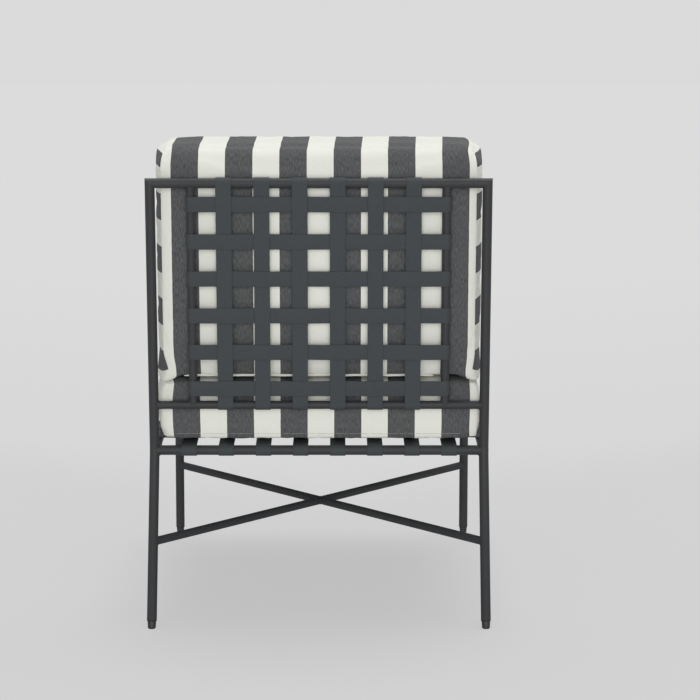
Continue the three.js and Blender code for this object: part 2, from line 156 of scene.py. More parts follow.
# Colours; a pair is the two ends of a mottled range
COAT_COLOURS = (0.0276, 0.0286, 0.0305), (0.0360, 0.0372, 0.0394)
WEBBING_COLOURS = (0.0329, 0.0380, 0.0410), (0.0502, 0.0573, 0.0612)
GLIDE_COLOURS = (0.010, 0.010, 0.011), (0.03, 0.03, 0.031)
GREY_YARNS = (0.045, 0.046, 0.048), (0.128, 0.131, 0.133)
IVORY_YARNS = (0.718, 0.723, 0.660), (0.756, 0.761, 0.700)
WARM_IVORY = (0.738, 0.738, 0.668)
TAPE_COLOURS = (0.70, 0.705, 0.65), (0.80, 0.80, 0.75)
THREAD_COLOURS = (0.30, 0.30, 0.29), (0.45, 0.45, 0.43)
COAT_ROUGHNESS = (0.46, 0.62)
COAT_LOW_DULLING = 0.2
COAT_LOW_HEIGHTS = (0.17, 0.31)

# Studio; the floor's glowing grey is a painted pool of light that rises with the distance and towards the
# middle, a sun is (strength, azimuth, elevation, spread)
FLOOR_SEGMENTS = 96
FLOOR_RINGS = [0.6, 1.2, 2.0, 3.0, 4.5, 7.0, 11.0, 18.0, 30.0]
FLOOR_NEAR = 0.473
FLOOR_PAINTED_MIDDLE_RISE = 0.038
FLOOR_MIDDLE_REACH = (0.40, 1.15)
FLOOR_PAINTED_FAR_RISE = 0.026
FLOOR_FAR_REACH = (1.15, 4.50)
FLOOR_PAINTED_SIDE_SHARE = 0.6
FLOOR_SEEN_COLOUR = 0.16
FLOOR_BOUNCE_COLOUR = 0.62
AMBIENT = 0.38
BACKDROP = 0.706
SUNS = {"key": (1.66, 0, 9, 50), "top": (2.05, 165, 75, 40)}

# Camera, solved from the photograph
CAMERA_PLACE = (0.0367, -4.4892, 1.1799)
CAMERA_TILT = math.radians(7.571)
PHOTO_SIZE = 700
FOCAL_PIXELS = 2200
PRINCIPAL_POINT = (338, 300)
SENSOR_WIDTH = 36


def unit(vector):
    return vector / np.linalg.norm(vector)


def box_middle(node):
    low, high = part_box(node)
    return np.array((low + high) / 2)


def box_size(node):
    low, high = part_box(node)
    return np.array(high - low)


# Places and directions read from the frame
tube_radius = box_size("front_leg_left")[0] / 2
slim_radius = box_size("lower_back_rail")[2] / 2
post_x = box_middle("front_leg_right")[0]
foot_y = box_middle("front_leg_right")[1]
kink = box_middle("rear_seat_rail")
top_middle = box_middle("top_rail")
lower_middle = box_middle("lower_back_rail")
front_middle = box_middle("front_seat_rail")
back_up = unit(top_middle - kink)
back_rear = np.cross(X_AXIS, back_up)
seat_forward = unit(front_middle - kink)
seat_up = np.cross(X_AXIS, seat_forward)
rear_foot = np.array([0.0, -foot_y, 0.0])
front_foot = np.array([0.0, foot_y, 0.0])
leg_up = unit(kink - rear_foot)
post_axis = unit(leg_up + back_up)
front_mitre = unit(Z_AXIS - seat_forward)


def shifted(point, x):
    return np.array([x, point[1], point[2]])


def at_side(point, side):
    """The point's place on the left or the right side of the frame."""
    return shifted(point, side * post_x)


def link(piece, body, nodes=()):
    bpy.context.scene.collection.objects.link(piece)
    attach(piece, body)
    if nodes:
        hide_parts(*nodes)


def mesh_object(name, vertices, faces, material, uvs=None):
    mesh = bpy.data.meshes.new(name)
    mesh.from_pydata([tuple(v) for v in vertices], [], [tuple(f) for f in faces])
    if uvs is not None:
        layer = mesh.uv_layers.new(name="cloth")
        layer.data.foreach_set("uv", np.asarray(uvs, float).ravel())
    mesh.validate()
    mesh.shade_smooth()
    mesh.set_sharp_from_angle(angle=SHARP_ANGLE)
    mesh.materials.append(material)
    return bpy.data.objects.new(name, mesh)


class Shape:
    """Vertices, faces and face-corner coordinates collected from several closed bodies."""

    def __init__(self):
        self.vertices = []
        self.faces = []
        self.uvs = []

    def add_rings(self, rings, lengths=None, widths=None, closed=False):
        """Joins rings of equal count; the ends are capped unless the rings close on themselves."""
        first = len(self.vertices)
        rings = np.asarray(rings)
        count, sides = rings.shape[:2]
        self.vertices.extend(rings.reshape(-1, 3))
        lengths = np.zeros(count + 1) if lengths is None else lengths
        widths = np.zeros(sides + 1) if widths is None else widths
        for r in range(count if closed else count - 1):
            for i in range(sides):
                j = (i + 1) % sides
                a, b = first + r * sides, first + ((r + 1) % count) * sides
                self.faces.append((a + i, a + j, b + j, b + i))
                low, high = lengths[r], lengths[r + 1]
                left, right = widths[i], widths[i + 1]
                self.uvs.extend([(left, low), (right, low), (right, high), (left, high)])
        if not closed:
            self.faces.append(tuple(first + i for i in reversed(range(sides))))
            self.faces.append(tuple(first + (count - 1) * sides + i for i in range(sides)))
            self.uvs.extend([(0.0, 0.0)] * (2 * sides))

    def piece(self, name, material):
        return mesh_object(name, self.vertices, self.faces, material, self.uvs)


def circle(sides, first, second):
    """Points of a circle, from the first radius towards the second."""
    angles = np.arange(sides) * (2 * math.pi / sides)
    return np.outer(np.cos(angles), first) + np.outer(np.sin(angles), second)


def ring_about(centre, along, radius=tube_radius, sides=TUBE_SIDES):
    across = X_AXIS if abs(along[0]) < math.sqrt(0.5) else Z_AXIS
    up = unit(np.cross(along, across))
    return centre + radius * circle(sides, np.cross(up, along), up)


def build_tube(name, rings, coat, node):
    """A tube of the frame through its rings, in place of its CAD node."""
    shape = Shape()
    shape.add_rings(rings)
    link(shape.piece(name, coat), "frame", [node])


def mitred_end(corner, along, mitre):
    """End ring of a tube, each point slid along the tube's axis to the plane of a mitre."""
    ring = ring_about(corner, along)
    return ring + np.outer(((corner - ring) @ mitre) / (along @ mitre), along)


def onto_tube(ring, along, axis_point, axis, radius):
    """Slides each point of a ring along a tube's axis to the near side of another tube."""
    axis = unit(axis)
    away = ring - axis_point
    flat_away = away - np.outer(away @ axis, axis)
    flat_along = along - (along @ axis) * axis
    a = flat_along @ flat_along
    b = 2 * flat_away @ flat_along
    c = np.einsum("ij,ij->i", flat_away, flat_away) - radius * radius
    inside = np.maximum(b * b - 4 * a * c, 0.0)
    steps = (-b - np.sqrt(inside)) / (2 * a)
    return ring + np.outer(steps, along)


def bend_stations(before_point, corner, after_point):
    """Centres and directions of a tube round one bend."""
    before = unit(corner - before_point)
    after = unit(after_point - corner)
    turn = math.acos(float(before @ after))
    hinge = unit(np.cross(before, after))
    inward = unit(after - before)
    centre = corner + inward * (BEND_RADIUS / math.cos(turn / 2))
    spoke = corner - before * (BEND_RADIUS * math.tan(turn / 2)) - centre
    stations = []
    for step in range(BEND_STEPS + 1):
        angle = turn * step / BEND_STEPS
        sine, cosine = math.sin(angle), math.cos(angle)
        turned = spoke * cosine + np.cross(hinge, spoke) * sine
        direction = before * cosine + np.cross(hinge, before) * sine
        stations.append((centre + turned, direction))
    return stations


def build_rear_posts(coat):
    for word, side in SIDES.items():
        start = at_side(rear_foot + leg_up * (GLIDE_HEIGHT / leg_up[2]), side)
        corner = at_side(top_middle, side)
        stations = [(start, leg_up), *bend_stations(start, at_side(kink, side), corner)]
        rings = [ring_about(centre, along) for centre, along in stations]
        rings.append(mitred_end(corner, back_up, unit(back_up - side * X_AXIS)))
        build_tube(f"rear_post_tube_{word}", rings, coat, f"rear_leg_post_{word}")


def build_top_rail(coat):
    rings = []
    for side in (-1, 1):
        rings.append(mitred_end(at_side(top_middle, side), X_AXIS, unit(back_up - side * X_AXIS)))
    build_tube("top_rail_tube", rings, coat, "top_rail")


def build_front_legs_and_side_rails(coat):
    for word, side in SIDES.items():
        corner = at_side(front_middle, side)
        foot = np.array([*corner[:2], GLIDE_HEIGHT])
        leg_rings = [ring_about(foot, Z_AXIS), mitred_end(corner, Z_AXIS, front_mitre)]
        build_tube(f"front_leg_tube_{word}", leg_rings, coat, f"front_leg_{word}")

        rear = at_side(kink, side)
        middle = ring_about((rear + corner) / 2, seat_forward)
        coped = onto_tube(middle, -seat_forward, rear, post_axis, tube_radius)
        rail_rings = [coped - seat_forward * TUBE_OVERLAP, mitred_end(corner, seat_forward, front_mitre)]
        build_tube(f"side_rail_tube_{word}", rail_rings, coat, f"side_seat_rail_{word}")


def slid_ends(ends, radius, cuts, sides=TUBE_SIDES):
    """Rings of a straight tube, slid onto the tubes that cut its ends, with its direction and normals."""
    middle = (ends[0] + ends[1]) / 2
    along = unit(ends[1] - ends[0])
    ring = ring_about(middle, along, radius, sides)
    rings = [onto_tube(ring, -along, *cuts[0]), onto_tube(ring, along, *cuts[1])]
    return rings, along, unit_rows(ring - middle)


def tube_normals(points, tube):
    away = points - tube[0]
    axis = unit(tube[1])
    return unit_rows(away - np.outer(away @ axis, axis))


def unit_rows(rows):
    return rows / np.linalg.norm(rows, axis=1, keepdims=True)


def add_bead(shape, line, outward, other):
    """Rippled weld bead along a closed line, thinner where the two surfaces run into each other."""
    tangents = unit_rows(np.roll(line, -1, axis=0) - np.roll(line, 1, axis=0))
    up = unit_rows(outward - tangents * np.einsum("ij,ij->i", outward, tangents)[:, None])
    corner = np.linalg.norm(np.cross(outward, other), axis=1)
    radii = WELD_RADIUS * np.maximum(corner, WELD_LEAST_SHARE)
    side = np.cross(tangents, up)
    rings = []
    for i, centre in enumerate(line):
        ripple = 1 + WELD_RIPPLE_SHARE * math.sin(2 * math.pi * WELD_RIPPLES * i / len(line))
        rings.append(centre + radii[i] * ripple * circle(WELD_SIDES, up[i], side[i]))
    shape.add_rings(rings, closed=True)


def straight_tubes():
    """Name of node: (ends, radius, cuts) for each tube with both ends welded to other tubes."""
    kinks = [at_side(kink, side) for side in (-1, 1)]
    lower = [at_side(lower_middle, side) for side in (-1, 1)]
    tubes = {
        "lower_back_rail": (lower, slim_radius, [(point, back_up, tube_radius) for point in lower]),
        "rear_seat_rail": (kinks, tube_radius, [(point, post_axis, tube_radius) for point in kinks]),
    }
    for word in SIDES:
        x = box_middle(f"back_upright_{word}")[0]
        ends = [shifted(lower_middle, x), shifted(top_middle, x)]
        cuts = [(ends[0], X_AXIS, slim_radius), (ends[1], X_AXIS, tube_radius)]
        tubes[f"back_upright_{word}"] = (ends, slim_radius, cuts)

    height = box_middle("brace_long")[2]
    rear_y = rear_foot[1] + leg_up[1] / leg_up[2] * height
    left_rear, right_rear = [at_side((0, rear_y, height), side) for side in (-1, 1)]
    left_front, right_front = [at_side((0, foot_y, height), side) for side in (-1, 1)]
    crossing = (left_rear + right_front) / 2
    brace = (crossing, unit(right_front - left_rear), slim_radius)
    braces = {
        "brace_long": (left_rear, leg_up, right_front, (right_front, Z_AXIS, tube_radius)),
        "brace_half_rear": (right_rear, leg_up, crossing, brace),
        "brace_half_front": (left_front, Z_AXIS, crossing, brace),
    }
    for node, (start, leg, end, cut) in braces.items():
        tubes[node] = ([start, end], slim_radius, [(start, leg, tube_radius), cut])
    return tubes


def front_rail_ends(ring, side):
    """Slides a ring of the front rail onto the mitred corner of a front leg and a side rail."""
    corner = at_side(front_middle, side)
    on_leg = onto_tube(ring, side * X_AXIS, corner, Z_AXIS, tube_radius)
    on_rail = onto_tube(ring, side * X_AXIS, corner, seat_forward, tube_radius)
    by_rail = (ring - corner) @ front_mitre > 0
    return np.where(by_rail[:, None], on_rail, on_leg)


def build_straight_tubes(coat):
    beads = Shape()
    for node, (ends, radius, cuts) in straight_tubes().items():
        (start, end), along, _ = slid_ends(ends, radius, cuts)
        overlap = along * TUBE_OVERLAP
        build_tube(f"{node}_tube", [start - overlap, end + overlap], coat, node)
        lines, _, outward = slid_ends(ends, radius, cuts, WELD_STEPS)
        for line, cut in zip(lines, cuts):
            add_bead(beads, line, outward, tube_normals(line, cut))

    ring = ring_about(front_middle, X_AXIS)
    rings = [front_rail_ends(ring, side) for side in (-1, 1)]
    build_tube("front_seat_rail_tube", rings, coat, "front_seat_rail")
    fine = ring_about(front_middle, X_AXIS, tube_radius, WELD_STEPS)
    for side in (-1, 1):
        corner, rear = at_side(front_middle, side), at_side(kink, side)
        line = front_rail_ends(fine, side)
        add_bead(beads, line, unit_rows(fine - front_middle), tube_normals(line, (corner, Z_AXIS)))
        middle = (rear + corner) / 2
        round_rail = ring_about(middle, seat_forward, tube_radius, WELD_STEPS)
        post = (rear, post_axis, tube_radius)
        line = onto_tube(round_rail, -seat_forward, *post)
        add_bead(beads, line, unit_rows(round_rail - middle), tube_normals(line, post))
    link(beads.piece("weld_beads", coat), "frame")


def add_lathe(shape, profile, centre, axis, segments):
    """Turns (radius, height) points about an axis; both ends are capped."""
    rings = [ring_about(centre + axis * height, axis, radius, segments) for radius, height in profile]
    shape.add_rings(rings)


def build_glides(plastic):
    """Tapered plug below each tube, its rim rounded, the raked ones cut flat on the floor."""
    taper = (GLIDE_TOP_RADIUS - GLIDE_BOTTOM_RADIUS) / GLIDE_HEIGHT
    lower_part = [(GLIDE_BOTTOM_RADIUS - taper * GLIDE_HEIGHT, -GLIDE_HEIGHT)]
    for angle, height in GLIDE_RIM:
        cut = GLIDE_BOTTOM_RADIUS * GLIDE_RIM_SHARE * (1 - math.sin(angle))
        lower_part.append((GLIDE_BOTTOM_RADIUS - cut, height))
    for word, side in SIDES.items():
        for place, axis, foot in (("rear", leg_up, rear_foot), ("front", Z_AXIS, front_foot)):
            top = GLIDE_HEIGHT / axis[2]
            collar = [(GLIDE_TOP_RADIUS + change, top + height) for change, height in GLIDE_COLLAR]
            shape = Shape()
            add_lathe(shape, lower_part + collar, at_side(foot, side), axis, GLIDE_SEGMENTS)
            piece = shape.piece(f"glide_plug_{place}_{word}", plastic)
            cut_at_floor(piece)
            link(piece, "frame", [f"foot_glide_{place}_{word}"])


def cut_at_floor(piece):
    cut = bmesh.new()
    cut.from_mesh(piece.data)
    everything = cut.verts[:] + cut.edges[:] + cut.faces[:]
    result = bmesh.ops.bisect_plane(
        cut, geom=everything, plane_co=(0, 0, 0), plane_no=(0, 0, -1), clear_outer=True
    )
    rim = [part for part in result["geom_cut"] if isinstance(part, bmesh.types.BMEdge)]
    bmesh.ops.contextual_create(cut, geom=rim)
    bmesh.ops.recalc_face_normals(cut, faces=cut.faces[:])
    cut.to_mesh(piece.data)
    cut.free()


def ease(share):
    return share * share * (3 - 2 * share)


def wrap_route(tube_along, radius, outward):
    """(along, height) points round a tube, from its outer side outwards and under."""
    angles = np.linspace(0, WRAP_ANGLE, WRAP_STEPS + 1)
    return np.column_stack([tube_along + outward * radius * np.sin(angles), radius * np.cos(angles)])


def woven_route(tubes, crossings, over_first, middle, strap_width):
    """(along, height) points of one woven strap from wrap to wrap."""
    swing = (STRAP_THICKNESS + STRAP_GAP) / 2
    reach = strap_width / 2 + FLAT_BEYOND_CROSSING
    level = [middle + (swing if (k % 2 == 0) == over_first else -swing) for k in range(len(crossings))]
    radii = [tube[1] + STRAP_GAP + STRAP_THICKNESS / 2 for tube in tubes]
    knots = [(tubes[0][0], radii[0])]
    for place, height in zip(crossings, level):
        knots += [(place - reach, height), (place + reach, height)]
    knots.append((tubes[1][0], radii[1]))
    route = [wrap_route(tubes[0][0], radii[0], -1)[:0:-1]]
    for (a, low), (b, high) in zip(knots, knots[1:]):
        shares = np.arange(EASE_STEPS) / EASE_STEPS
        route.append(np.column_stack([a + (b - a) * shares, low + (high - low) * ease(shares)]))
    route.append(wrap_route(tubes[1][0], radii[1], 1))
    return np.vstack(route)


def strap_section(width):
    """(across, thickness) points of a flat strap with rounded edges."""
    flat, thick = width / 2 - STRAP_EDGE_ROUND, STRAP_THICKNESS / 2 - STRAP_EDGE_ROUND
    points = []
    for sx, sy, start in ((1, -1, -90), (1, 1, 0), (-1, 1, 90), (-1, -1, 180)):
        for step in range(STRAP_EDGE_STEPS + 1):
            angle = math.radians(start + 90 * step / STRAP_EDGE_STEPS)
            x, y = STRAP_EDGE_ROUND * math.cos(angle), STRAP_EDGE_ROUND * math.sin(angle)
            points.append((sx * flat + x, sy * thick + y))
    return np.array(points)


def strap_shape(route, origin, along, height, width):
    """Sweeps the strap's section along its route; its coordinates run across and along the strap."""
    across = np.cross(height, along)
    ahead = unit_rows(np.gradient(route, axis=0))
    normals = np.column_stack([-ahead[:, 1], ahead[:, 0]])
    section = strap_section(width)
    rings = []
    for point, normal in zip(route, normals):
        places = point + np.outer(section[:, 1], normal)
        ring = origin + np.outer(section[:, 0], across)
        rings.append(ring + np.outer(places[:, 0], along) + np.outer(places[:, 1], height))
    steps = np.linalg.norm(np.diff(route, axis=0), axis=1)
    lengths = np.concatenate([[0.0], np.cumsum(steps)])
    widths = np.append(section[:, 0], section[0, 0])
    shape = Shape()
    shape.add_rings(rings, lengths, widths)
    return shape


def add_rivet(rivets, origin, along, height, tube, outward, angle):
    """Flat-headed rivet through a strap's wrap, at an angle from the strap's outer side."""
    radius = tube[1] + STRAP_GAP + STRAP_THICKNESS
    out = along * (outward * math.sin(angle)) + height * math.cos(angle)
    centre = origin + along * tube[0] + out * (radius - RIVET_HEIGHT / 2)
    profile = [(RIVET_RADIUS * wide, RIVET_HEIGHT * high) for wide, high in RIVET_PROFILE]
    add_lathe(rivets, profile, centre, out, RIVET_SEGMENTS)


def build_panel(webbing, rivets, rows, columns, plane, rivet_angle):
    """Woven panel: rows cross from side to side, columns run along it."""
    along, height = plane
    middle = rows["tube"] + STRAP_GAP + STRAP_THICKNESS / 2
    row_tubes = [(side * rows["reach"], rows["tube"]) for side in (-1, 1)]
    row_places = [(box_middle(node) - kink) @ along for node in rows["nodes"]]
    column_places = [box_middle(node)[0] for node in columns["nodes"]]
    width = box_size(columns["nodes"][0])[0]

    def build_strap(node, tubes, crossings, over_first, origin, direction):
        route = woven_route(tubes, crossings, over_first, middle, width)
        piece = strap_shape(route, origin, direction, height, width).piece(f"{node}_strap", webbing)
        link(piece, "frame", [node])
        for tube, outward in zip(tubes, (-1, 1)):
            add_rivet(rivets, origin, direction, height, tube, outward, rivet_angle)

    for i, (node, x) in enumerate(zip(columns["nodes"], column_places)):
        over_first = i % 2 == columns["parity"]
        build_strap(node, columns["tubes"], row_places, over_first, shifted(kink, x), along)
    for j, (node, place) in enumerate(zip(rows["nodes"], row_places)):
        over_first = j % 2 != columns["parity"]
        build_strap(node, row_tubes, column_places, over_first, kink + along * place, X_AXIS)


def numbered(stem):
    return [f"{stem}_{i}" for i in range(1, len(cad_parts)) if f"{stem}_{i}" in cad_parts]


def build_webbing(webbing, coat):
    rivets = Shape()
    lower_rise, top_rise = [(point - kink) @ back_up for point in (lower_middle, top_middle)]
    reach = box_middle("back_upright_right")[0]
    back_rows = {"nodes": numbered("back_strap_cross"), "reach": reach, "tube": slim_radius}
    back_columns = {
        "nodes": numbered("back_strap_vertical"),
        "tubes": [(lower_rise, slim_radius), (top_rise, tube_radius)],
        "parity": 1,
    }
    build_panel(webbing, rivets, back_rows, back_columns, (back_up, back_rear), BACK_RIVET_ANGLE)
    seat_rows = {"nodes": numbered("seat_strap_cross"), "reach": post_x, "tube": tube_radius}
    seat_columns = {
        "nodes": numbered("seat_strap_lengthwise"),
        "tubes": [(0.0, tube_radius), ((front_middle - kink) @ seat_forward, tube_radius)],
        "parity": 0,
    }
    build_panel(webbing, rivets, seat_rows, seat_columns, (seat_forward, seat_up), SEAT_RIVET_ANGLE)
    link(rivets.piece("strap_rivets", coat), "frame")


def graded_places(length):
    """Distances along one side of a panel, close together near both seams."""
    near = np.cumsum([0.0] + GRADED_STEPS)
    inner = length - 2 * near[-1]
    count = max(2, round(inner / PANEL_STEP))
    middle = near[-1] + inner * np.arange(1, count) / count
    return np.concatenate([near, middle, length - near[::-1]])


def rounded_corners(x, y, half_width, half_height, radii, share=1.0):
    """Moves the points of a rectangle so that its corners are round; radii by (x side, y side)."""
    new_x, new_y = x.copy(), y.copy()
    for (sx, sy), full_radius in radii.items():
        radius = full_radius * share
        a = (sx * x - (half_width - radius)) / radius
        b = (sy * y - (half_height - radius)) / radius
        inside = (a > 0) & (b > 0)
        a, b = np.clip(a, 0, 1), np.clip(b, 0, 1)
        round_a = a * np.sqrt(1 - b * b / 2)
        round_b = b * np.sqrt(1 - a * a / 2)
        new_x = np.where(inside, sx * (half_width - radius + radius * round_a), new_x)
        new_y = np.where(inside, sy * (half_height - radius + radius * round_b), new_y)
    return new_x, new_y


def box_surface(counts):
    """Lattice points on the surface of a box, and its faces with the side that each lies on."""
    nx, ny, nz = counts
    index = {}

    def at(i, j, k):
        return index.setdefault((i, j, k), len(index))

    faces, sides = [], []

    def quads(n, m, corner, side):
        for a in range(n):
            for b in range(m):
                faces.append([corner(a, b), corner(a + 1, b), corner(a + 1, b + 1), corner(a, b + 1)])
                sides.append(side)

    quads(nx, ny, lambda a, b: at(a, b, nz), "+z")
    quads(ny, nx, lambda a, b: at(b, a, 0), "-z")
    quads(ny, nz, lambda a, b: at(nx, a, b), "+x")
    quads(nz, ny, lambda a, b: at(0, b, a), "-x")
    quads(nz, nx, lambda a, b: at(b, ny, a), "+y")
    quads(nx, nz, lambda a, b: at(a, 0, b), "-y")
    return np.array(list(index)), faces, sides


def swell(bulge, share, half, depth):
    """Outward bulge of the boxing, fading away from each side of the big faces."""
    fade = np.exp((np.abs(share) - 1) * half / SWELL_REACH)
    return bulge * (1 - depth * depth) * np.sign(share) * fade


def cushion_shape(spec):
    """Crowned box cushion round its own middle; pulls go inward from corners, folds move round spots."""
    half = np.array(spec["size"]) / 2
    places = [graded_places(length) - length / 2 for length in spec["size"]]
    lattice, faces, sides = box_surface([len(p) - 1 for p in places])
    flat = np.column_stack([places[axis][lattice[:, axis]] for axis in range(3)])
    u, v, w = (flat / half).T
    crown = np.where(w > 0, *spec["crowns"])
    for share in (u, v):
        crown = crown * (1 - np.abs(share) ** CROWN_POWER)
    side_bulge, top_bulge, bottom_bulge = spec["bulge"]
    swell_x = swell(side_bulge, u, half[0], w)
    swell_y = swell(np.where(v > 0, top_bulge, bottom_bulge), v, half[1], w)
    by_depth = 1 - CORNER_TIGHTENING * np.clip(w, 0, 1)
    x, y = rounded_corners(flat[:, 0], flat[:, 1], half[0], half[1], spec["radii"], by_depth)
    round_y, round_z = rounded_corners(flat[:, 1], flat[:, 2], half[1], half[2], spec["edges"])
    y = y + swell_y + round_y - flat[:, 1]
    points = np.column_stack([x + swell_x, y, round_z + w * crown])
    for corner, inward, reach in spec["pulls"]:
        weights = np.clip(1 - np.abs(flat - half * corner) / reach, 0, 1)
        points = points - np.outer(np.prod(ease(weights), axis=1), np.multiply(corner, inward))
    for place, reach, move in spec["folds"]:
        away = (flat - half * place) / reach
        points = points + np.outer(np.exp(-(away**2).sum(axis=1)), move)
    return points, flat, flat[:, 0] + swell_x, lattice, faces, sides


def seam_distance(flat, size, unsewn):
    """Distance of each lattice point from its nearest sewn edge; unsewn ones are signs (y, z)."""
    gap_x, gap_y, gap_z = (np.array(size) / 2 - np.abs(flat)).T
    along_y = np.hypot(gap_y, gap_z)
    for sign_y, sign_z in unsewn:
        on_edge = (flat[:, 1] * sign_y > 0) & (flat[:, 2] * sign_z > 0)
        along_y = np.where(on_edge, NO_SEAM, along_y)
    return np.minimum(np.hypot(gap_x, gap_z), along_y)


def cloth_uvs(flat, across, faces, sides, spec):
    """Cloth coordinates of each face corner: across the stripes, then along them.

    Within the two wrap lengths of the top and the bottom, their cloth runs on over the sides.
    The lean is how far the stripes of the top have moved aside at its front seam.
    """
    uvs = []
    top = spec["size"][1] / 2
    edge = spec["size"][2]
    top_wrap, bottom_wrap = spec["wraps"]
    for face, side in zip(faces, sides):
        below_top = top - np.mean([flat[corner][1] for corner in face])
        for corner in face:
            x, y, z = flat[corner]
            if side in ("+z", "-z"):
                uvs.append((x, y))
            elif side in ("+y", "-y"):
                lean = spec["lean"] if side == "+y" else 0.0
                uvs.append((across[corner] - lean * (0.5 - z / edge), y + abs(z)))
            elif below_top < top_wrap:
                uvs.append((x + math.copysign(top - y, x), z))
            elif 2 * top - below_top < bottom_wrap:
                uvs.append((x + math.copysign(top + y, x), z))
            else:
                uvs.append((y + spec["side_shift"], z))
    return uvs


def read_rows(items, key):
    """The points or directions of a mesh's vertices, one to a row."""
    values = np.zeros(len(items) * 3)
    items.foreach_get(key, values)
    return values.reshape(-1, 3)


def inflate(piece, away):
    """Blows the cover up a little against its sewn edges, and returns how far each point moved."""
    group = piece.vertex_groups.new(name="sewn")
    sewn = np.nonzero(away < ON_SEAM)[0]
    group.add([int(i) for i in sewn], 1.0, "ADD")
    cloth = piece.modifiers.new("Cloth", "CLOTH")
    for key, value in SIM_SETTINGS.items():
        setattr(cloth.settings, key, value)
    cloth.settings.vertex_group_mass = group.name
    cloth.settings.effector_weights.gravity = 0
    cloth.collision_settings.use_collision = False
    cloth.collision_settings.use_self_collision = False
    cloth.point_cache.frame_start = 1
    cloth.point_cache.frame_end = SIM_FRAMES
    scene = bpy.context.scene
    for number in range(1, SIM_FRAMES + 1):
        scene.frame_set(number)
    graph = bpy.context.evaluated_depsgraph_get()
    moved = read_rows(piece.evaluated_get(graph).to_mesh().vertices, "co")
    piece.evaluated_get(graph).to_mesh_clear()
    start = read_rows(piece.data.vertices, "co")
    piece.modifiers.remove(cloth)
    piece.vertex_groups.clear()
    scene.frame_set(1)
    return moved - start


def capped(moves, limit):
    """Shortens long moves smoothly, so that none is longer than the limit."""
    lengths = np.linalg.norm(moves, axis=1, keepdims=True)
    shares = np.tanh(lengths / limit) * limit / np.maximum(lengths, 1e-9)
    return moves * shares


def puckers(points, flat, normals, away, seed):
    """Seam groove and the small gathers beside it, as moves along the surface's normals."""
    groove = -SEAM_DEPTH * np.exp(-((away / SEAM_WIDTH) ** 2))
    gathers = np.zeros(len(flat))
    for i in np.nonzero(away < 3 * PUCKER_REACH)[0]:
        x, y, z = flat[i] / PUCKER_PITCH
        coarse = noise.noise(Vector((x + seed, y, z * PUCKER_STRETCH)))
        fine = noise.noise(Vector((2 * x, 2 * y + seed, z)))
        fade = math.exp(-away[i] / PUCKER_REACH) * min(1.0, away[i] / PUCKER_START)
        gathers[i] = PUCKER_HEIGHT * (coarse + 0.5 * fine) * fade
    return points + normals * (groove + gathers)[:, None]


def set_points(mesh, points):
    mesh.vertices.foreach_set("co", points.ravel())
    mesh.update()


def build_cushion(fabric, spec):
    node = spec["node"]
    points, flat, across, lattice, faces, sides = cushion_shape(spec)
    start = spec["middle"] + points @ np.array(spec["axes"])
    piece = mesh_object(f"{node}_cover", start, faces, fabric, cloth_uvs(flat, across, faces, sides, spec))
    link(piece, node, [node])
    away = seam_distance(flat, spec["size"], spec["edges"])
    shaped = start
    shaped = start + capped(inflate(piece, away), SIM_CAP)
    set_points(piece.data, shaped)
    normals = read_rows(piece.data.vertex_normals, "vector")
    shaped = spec["settle"](puckers(shaped, flat, normals, away, spec["seed"]))
    set_points(piece.data, shaped)
    fine = piece.modifiers.new("Fine", "SUBSURF")
    fine.levels = 1
    fine.render_levels = 1
    fine.uv_smooth = "PRESERVE_BOUNDARIES"
    return shaped, faces, lattice


def both(y, z, inward, reach):
    """The same pull at a left and a right corner."""
    return [((side, y, z), inward, reach) for side in (-1, 1)]


def seat_spec():
    """The seat cushion; its x runs across the chair, its y forward and its z up."""
    return {
        "node": "seat_cushion",
        "size": (0.608, 0.657, 0.118),
        "crowns": (0.009, 0.006),
        "bulge": (0.0065, 0.0025, 0.0030),
        "radii": {(-1, -1): 0.008, (1, -1): 0.005, (-1, 1): 0.022, (1, 1): 0.022},
        "edges": {},
        "wraps": (0.0, 0.0),
        "lean": 0.0,
        "pulls": [
            ((-1, -1, -1), (0.002, 0.003, 0.002), (0.040, 0.060, 0.024)),
            ((1, -1, -1), (-0.002, 0.002, 0.002), (0.040, 0.060, 0.024)),
            ((0, -1, 1), (0, 0.003, 0.007), (ALL_ALONG, 0.050, 0.050)),
            ((-1, -1, 1), (0.004, 0.002, 0.004), (0.060, 0.022, 0.060)),
            ((1, -1, 1), (-0.001, 0.002, 0.004), (0.060, 0.040, 0.060)),
            *both(1, 1, (0.006, 0.006, 0.006), (0.060, 0.060, 0.060)),
            *both(1, -1, (0.008, 0.008, 0.001), (0.060, 0.060, 0.060)),
        ],
        "folds": [
            ((-1, -0.82, 0.55), (0.050, 0.050, 0.050), (-0.008, 0, 0)),
            ((1, -0.95, 0.1), (0.040, 0.040, 0.060), (0.003, 0, 0)),
        ],
        "middle": cushion_middle("seat_cushion", seat_forward, seat_up),
        "axes": (X_AXIS, seat_forward, seat_up),
        "side_shift": SEAT_DARK_START - SIDE_DARK_START_SEAT,
        "seed": 3.7,
        "settle": settle_seat,
    }


